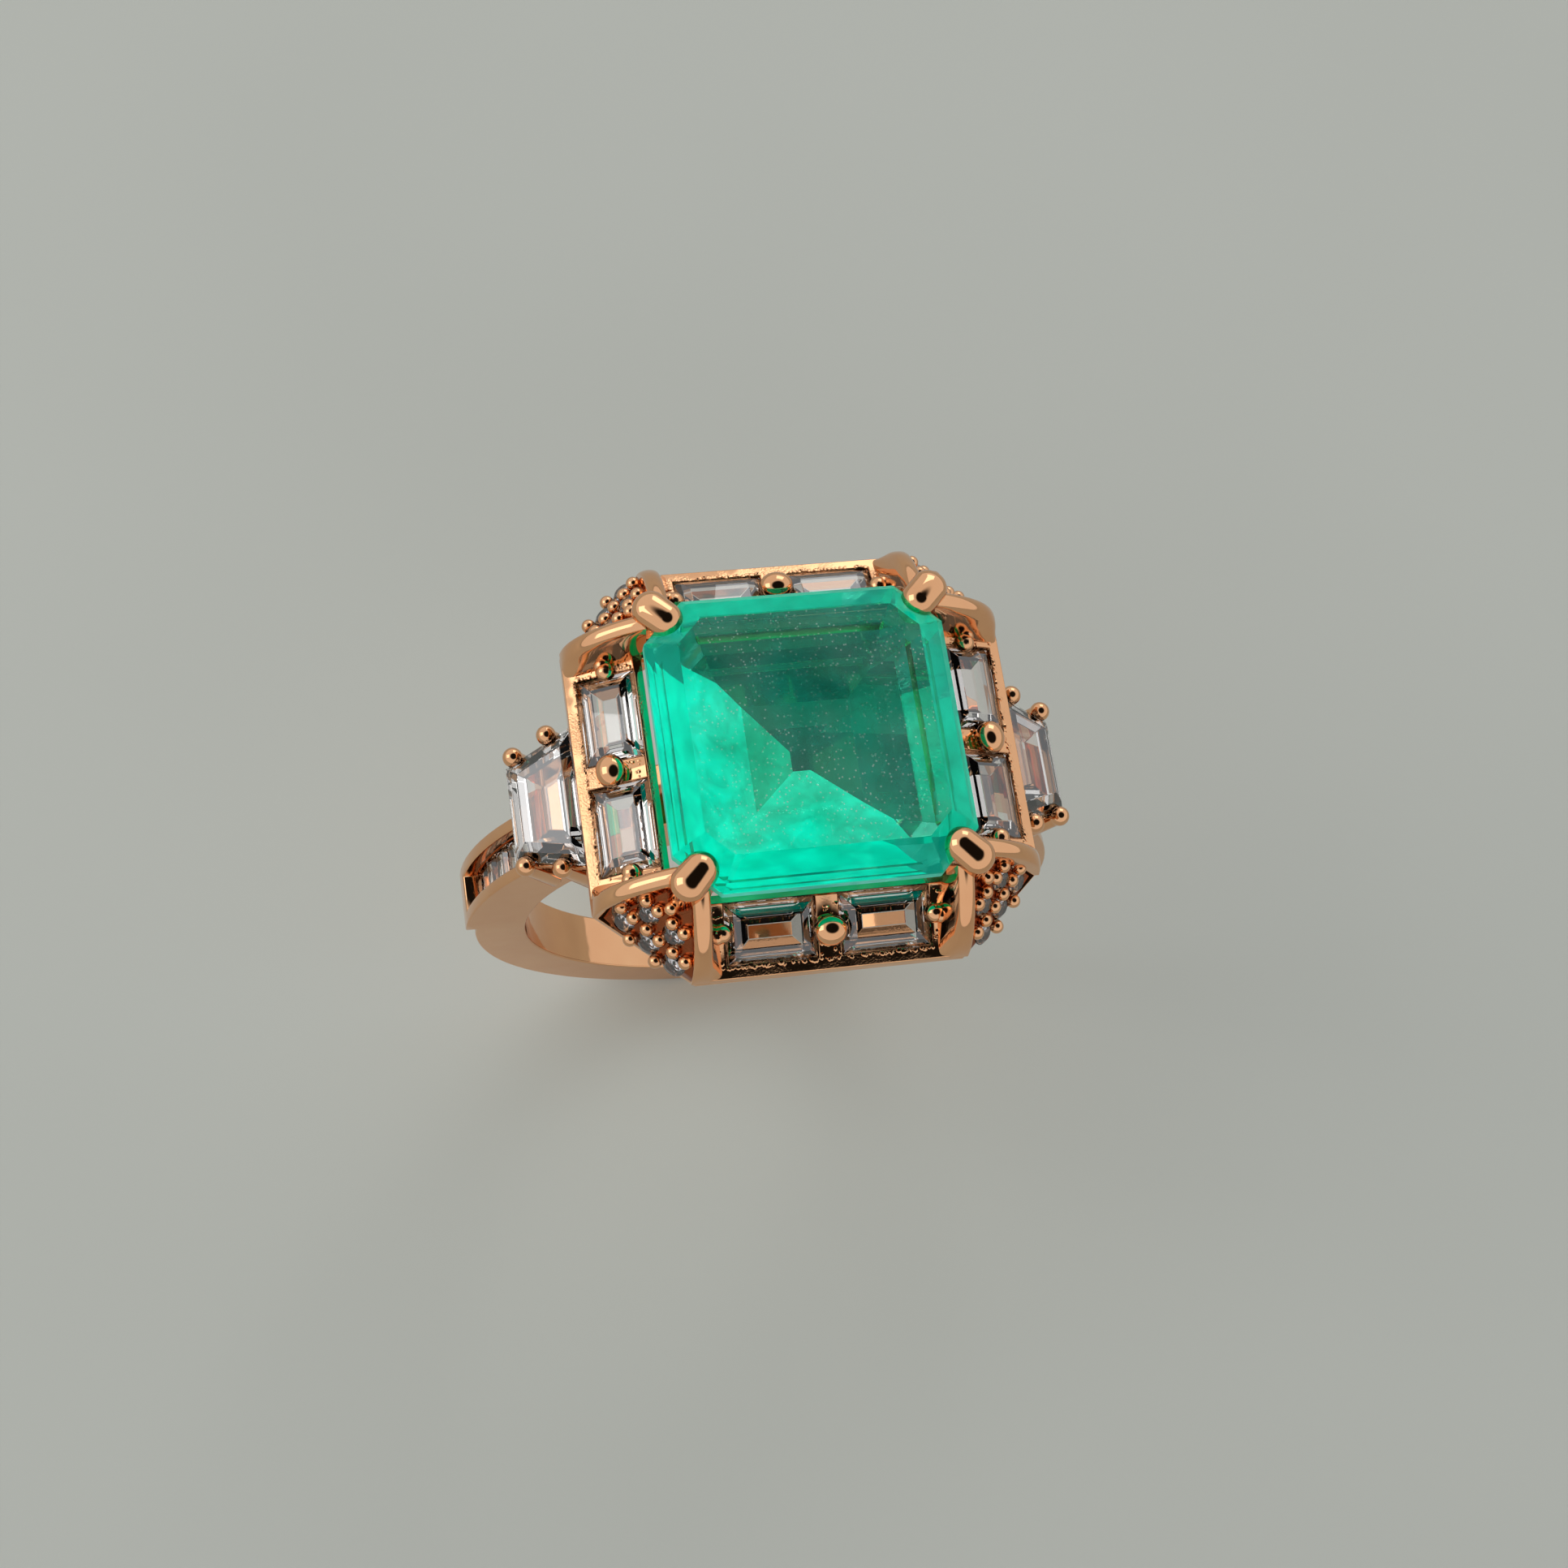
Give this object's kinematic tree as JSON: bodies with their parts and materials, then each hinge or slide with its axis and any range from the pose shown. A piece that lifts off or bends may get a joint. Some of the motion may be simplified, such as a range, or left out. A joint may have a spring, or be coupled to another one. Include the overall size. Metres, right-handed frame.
{
  "type": "engagement ring",
  "caption": "Finger ring with a square green step-cut stone in a sloping octagonal halo of clear baguettes, claw corners with pavé, trapezoid side stones and channel-set shoulders.",
  "frame": {"origin": "on the finger axis, at the middle of the band's width", "axes": "+Z from the finger axis through the centre stone, +Y along the finger axis, +X towards the right shoulder"},
  "size_m": [0.0218, 0.0144, 0.0258],
  "materials": {
    "rose_gold": "polished rose gold casting",
    "green_stone": "polished green step-cut beryl",
    "clear_stone": "polished clear cubic zirconia"
  },
  "bodies": {
    "root": {"shank": "rose_gold", "centre_basket": "rose_gold", "halo_tray": "rose_gold", "claw_front_left": "rose_gold", "claw_front_right": "rose_gold", "claw_back_left": "rose_gold", "claw_back_right": "rose_gold", "mid_prong_right": "rose_gold", "mid_prong_back": "rose_gold", "mid_prong_left": "rose_gold", "mid_prong_front": "rose_gold", "side_basket_right": "rose_gold", "side_basket_left": "rose_gold", "centre_stone": "green_stone", "baguette_right_1": "clear_stone", "baguette_right_2": "clear_stone", "baguette_back_1": "clear_stone", "baguette_back_2": "clear_stone", "baguette_left_1": "clear_stone", "baguette_left_2": "clear_stone", "baguette_front_1": "clear_stone", "baguette_front_2": "clear_stone", "pave_front_left_1": "clear_stone", "pave_front_left_2": "clear_stone", "pave_front_left_3": "clear_stone", "pave_front_left_4": "clear_stone", "pave_front_left_5": "clear_stone", "pave_front_right_1": "clear_stone", "pave_front_right_2": "clear_stone", "pave_front_right_3": "clear_stone", "pave_front_right_4": "clear_stone", "pave_front_right_5": "clear_stone", "pave_back_left_1": "clear_stone", "pave_back_left_2": "clear_stone", "pave_back_left_3": "clear_stone", "pave_back_left_4": "clear_stone", "pave_back_left_5": "clear_stone", "pave_back_right_1": "clear_stone", "pave_back_right_2": "clear_stone", "pave_back_right_3": "clear_stone", "pave_back_right_4": "clear_stone", "pave_back_right_5": "clear_stone", "side_stone_right": "clear_stone", "side_stone_left": "clear_stone", "channel_stones_right": "clear_stone", "channel_stones_left": "clear_stone"}
  },
  "joints": []
}
